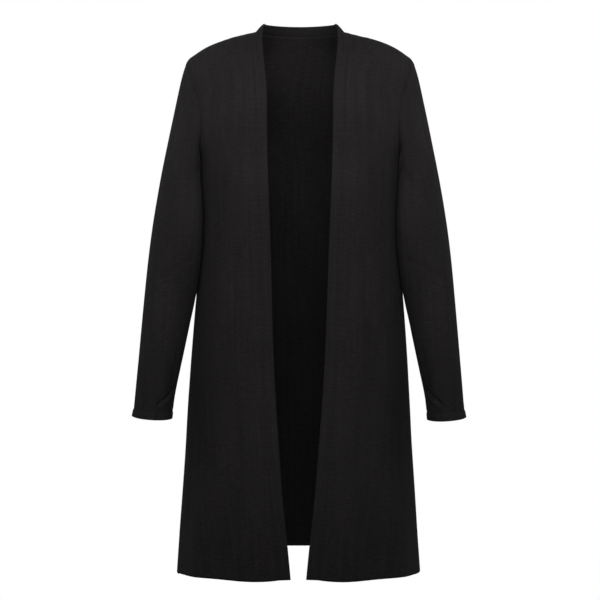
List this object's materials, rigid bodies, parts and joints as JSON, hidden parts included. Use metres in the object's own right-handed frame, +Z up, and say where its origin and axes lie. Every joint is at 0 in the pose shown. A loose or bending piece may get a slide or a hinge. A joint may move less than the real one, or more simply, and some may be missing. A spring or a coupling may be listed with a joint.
{
  "type": "duster cardigan",
  "caption": "Knee-length open-front duster cardigan in fine black jersey, with long set-in sleeves and a narrow folded band round the neck and down both fronts.",
  "frame": {"origin": "midway between the two points where the shoulder seams meet the neck", "axes": "+Z up the wearer's back; the open front faces -Y; +X to the wearer's left"},
  "size_m": [0.545, 0.2708, 0.9156],
  "materials": {
    "body_jersey": "fine matte black jersey knit with a soft bloom at grazing angles",
    "band_jersey": "the same jersey, folded double and pressed"
  },
  "bodies": {
    "root": {"back": "body_jersey", "left_front": "body_jersey", "right_front": "body_jersey", "left_front_band": "band_jersey", "right_front_band": "band_jersey", "back_neck_band": "band_jersey", "left_sleeve": "body_jersey", "right_sleeve": "body_jersey"}
  },
  "joints": []
}
